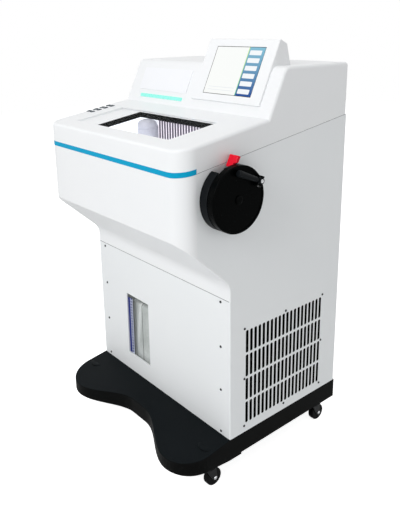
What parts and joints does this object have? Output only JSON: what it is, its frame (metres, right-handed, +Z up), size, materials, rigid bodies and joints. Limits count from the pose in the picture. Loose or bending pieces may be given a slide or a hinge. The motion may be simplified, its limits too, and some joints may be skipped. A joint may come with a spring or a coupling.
{
  "type": "cryostat microtome",
  "caption": "Free-standing refrigerated sectioning cabinet with sloping deck and sliding window, side handwheel with fold-out grip, tilted control screen, louvred side and swivel casters.",
  "frame": {"origin": "middle of the outline in plan, on the floor", "axes": "+X to the handwheel side, +Y to the rear, +Z up"},
  "size_m": [0.661, 0.577, 1.1291],
  "materials": {
    "black_base": "semi-gloss moulded",
    "frame_grey": "powder coat",
    "painted_white": "fine powder coat",
    "moulded_white": "satin moulding",
    "blue_band": "gloss",
    "surround_white": "satin moulding",
    "black_rubber": "matt",
    "clear_glass": "clear",
    "liner_white": "satin liner",
    "foam_yellow": "cut foam",
    "fin_aluminium": "mill finish",
    "grey_coat": "satin",
    "brushed_steel": "brushed",
    "steel_dark": "satin",
    "blade_steel": "honed",
    "black_plastic": "fine texture",
    "plate_white": "satin",
    "turquoise_bar": "diffuse lens",
    "bezel_grey": "satin",
    "display_glass": "gloss",
    "filter_black": "open foam",
    "bottle_clear": "translucent",
    "cast_grey": "machined",
    "red_lever": "gloss",
    "black_wheel": "satin moulding",
    "chrome_pin": "polished",
    "rocker_black": "gloss",
    "compressor_black": "gloss enamel",
    "motor_grey": "satin",
    "rotor_black": "moulded",
    "screw_dark": "black oxide",
    "key_dark": "soft touch",
    "caster_steel": "black zinc",
    "caster_tyre": "solid tyre"
  },
  "bodies": {
    "cabinet": {"base_skid": "black_base", "cabinet_frame": "frame_grey", "side_panel_left": "painted_white", "side_panel_right": "painted_white", "rear_panel": "painted_white", "front_panel": "painted_white", "front_cowl": "moulded_white", "top_hood": "moulded_white", "accent_stripe": "blue_band", "window_surround": "surround_white", "window_gasket": "black_rubber", "chamber_tub": "liner_white", "chamber_insulation": "foam_yellow", "evaporator": "fin_aluminium", "head_housing": "grey_coat", "knife_base": "steel_dark", "knife_blade": "blade_steel", "key_pod": "black_plastic", "console_plate": "plate_white", "status_bar": "turquoise_bar", "screen_housing": "bezel_grey", "display_panel": "display_glass", "air_filter": "filter_black", "slot_pane": "clear_glass", "waste_bottle": "bottle_clear", "wheel_bearing": "cast_grey", "wheel_shroud": "black_plastic", "power_inlet": "black_plastic", "compressor": "compressor_black", "condenser": "fin_aluminium", "fan_shroud": "frame_grey", "fan_motor": "motor_grey", "front_panel_screws": "screw_dark", "grille_screws": "screw_dark"},
    "window": {"window_pane": "clear_glass"},
    "wheel": {"handwheel": "black_wheel", "wheel_shaft": "brushed_steel", "grip_pin": "chrome_pin"},
    "grip": {"grip_handle": "black_plastic"},
    "lock": {"lock_lever": "red_lever"},
    "rocker": {"power_rocker": "rocker_black"},
    "fan": {"fan_rotor": "rotor_black"},
    "head": {"specimen_head": "brushed_steel"},
    "clamp": {"clamp_lever": "black_plastic"},
    "key_1": {"deck_key_1": "key_dark"},
    "key_2": {"deck_key_2": "key_dark"},
    "key_3": {"deck_key_3": "key_dark"},
    "key_4": {"deck_key_4": "key_dark"},
    "key_5": {"deck_key_5": "key_dark"},
    "key_6": {"deck_key_6": "key_dark"},
    "key_7": {"deck_key_7": "key_dark"},
    "key_8": {"deck_key_8": "key_dark"},
    "swivel_front_right": {"caster_fork_front_right": "caster_steel"},
    "roller_front_right": {"caster_wheel_front_right": "caster_tyre"},
    "swivel_front_left": {"caster_fork_front_left": "caster_steel"},
    "roller_front_left": {"caster_wheel_front_left": "caster_tyre"},
    "swivel_rear_right": {"caster_fork_rear_right": "caster_steel"},
    "roller_rear_right": {"caster_wheel_rear_right": "caster_tyre"},
    "swivel_rear_left": {"caster_fork_rear_left": "caster_steel"},
    "roller_rear_left": {"caster_wheel_rear_left": "caster_tyre"}
  },
  "joints": [
    {"name": "window_slide", "type": "slide", "parent": "cabinet", "child": "window", "axis": [1, 0, 0], "range_m": [-0.08, 0]},
    {"name": "wheel_spin", "type": "hinge", "parent": "cabinet", "child": "wheel", "pos_m": [0.2899, -0.1515, 0.788], "axis": [1, 0, 0], "continuous": true},
    {"name": "grip_fold", "type": "hinge", "parent": "wheel", "child": "grip", "pos_m": [0.3224, -0.09462, 0.82434], "axis": [0, 0.3821, 0.9241], "range_deg": [0, 90]},
    {"name": "lock_turn", "type": "hinge", "parent": "cabinet", "child": "lock", "pos_m": [0.2769, -0.1515, 0.788], "axis": [1, 0, 0], "range_deg": [0, 30]},
    {"name": "rocker_tilt", "type": "hinge", "parent": "cabinet", "child": "rocker", "pos_m": [-0.2301, 0.2805, 0.265], "axis": [1, 0, 0], "range_deg": [0, 10]},
    {"name": "fan_spin", "type": "hinge", "parent": "cabinet", "child": "fan", "pos_m": [0.1919, 0.0665, 0.281], "axis": [1, 0, 0], "continuous": true},
    {"name": "head_stroke", "type": "slide", "parent": "cabinet", "child": "head", "axis": [0, 0, 1], "range_m": [-0.029, 0.029]},
    {"name": "clamp_turn", "type": "hinge", "parent": "cabinet", "child": "clamp", "pos_m": [-0.1101, -0.1915, 0.78], "axis": [1, 0, 0], "range_deg": [0, 70]},
    {"name": "key_1_press", "type": "slide", "parent": "cabinet", "child": "key_1", "axis": [0, 0.1493, -0.9888], "range_m": [0, 0.001], "stiffness_N_per_m": 400},
    {"name": "key_2_press", "type": "slide", "parent": "cabinet", "child": "key_2", "axis": [0, 0.1493, -0.9888], "range_m": [0, 0.001], "stiffness_N_per_m": 400},
    {"name": "key_3_press", "type": "slide", "parent": "cabinet", "child": "key_3", "axis": [0, 0.1493, -0.9888], "range_m": [0, 0.001], "stiffness_N_per_m": 400},
    {"name": "key_4_press", "type": "slide", "parent": "cabinet", "child": "key_4", "axis": [0, 0.1493, -0.9888], "range_m": [0, 0.001], "stiffness_N_per_m": 400},
    {"name": "key_5_press", "type": "slide", "parent": "cabinet", "child": "key_5", "axis": [0, 0.1493, -0.9888], "range_m": [0, 0.001], "stiffness_N_per_m": 400},
    {"name": "key_6_press", "type": "slide", "parent": "cabinet", "child": "key_6", "axis": [0, 0.1493, -0.9888], "range_m": [0, 0.001], "stiffness_N_per_m": 400},
    {"name": "key_7_press", "type": "slide", "parent": "cabinet", "child": "key_7", "axis": [0, 0.1493, -0.9888], "range_m": [0, 0.001], "stiffness_N_per_m": 400},
    {"name": "key_8_press", "type": "slide", "parent": "cabinet", "child": "key_8", "axis": [0, 0.1493, -0.9888], "range_m": [0, 0.001], "stiffness_N_per_m": 400},
    {"name": "swivel_turn_front_right", "type": "hinge", "parent": "cabinet", "child": "swivel_front_right", "pos_m": [0.2369, -0.1855, 0.064], "axis": [0, 0, 1], "continuous": true},
    {"name": "roller_spin_front_right", "type": "hinge", "parent": "swivel_front_right", "child": "roller_front_right", "pos_m": [0.2369, -0.1715, 0.024], "axis": [1, 0, 0], "continuous": true},
    {"name": "swivel_turn_front_left", "type": "hinge", "parent": "cabinet", "child": "swivel_front_left", "pos_m": [-0.2971, -0.1855, 0.064], "axis": [0, 0, 1], "continuous": true},
    {"name": "roller_spin_front_left", "type": "hinge", "parent": "swivel_front_left", "child": "roller_front_left", "pos_m": [-0.2971, -0.1715, 0.024], "axis": [1, 0, 0], "continuous": true},
    {"name": "swivel_turn_rear_right", "type": "hinge", "parent": "cabinet", "child": "swivel_rear_right", "pos_m": [0.2369, 0.2345, 0.064], "axis": [0, 0, 1], "continuous": true},
    {"name": "roller_spin_rear_right", "type": "hinge", "parent": "swivel_rear_right", "child": "roller_rear_right", "pos_m": [0.2369, 0.2485, 0.024], "axis": [1, 0, 0], "continuous": true},
    {"name": "swivel_turn_rear_left", "type": "hinge", "parent": "cabinet", "child": "swivel_rear_left", "pos_m": [-0.2971, 0.2345, 0.064], "axis": [0, 0, 1], "continuous": true},
    {"name": "roller_spin_rear_left", "type": "hinge", "parent": "swivel_rear_left", "child": "roller_rear_left", "pos_m": [-0.2971, 0.2485, 0.024], "axis": [1, 0, 0], "continuous": true}
  ]
}
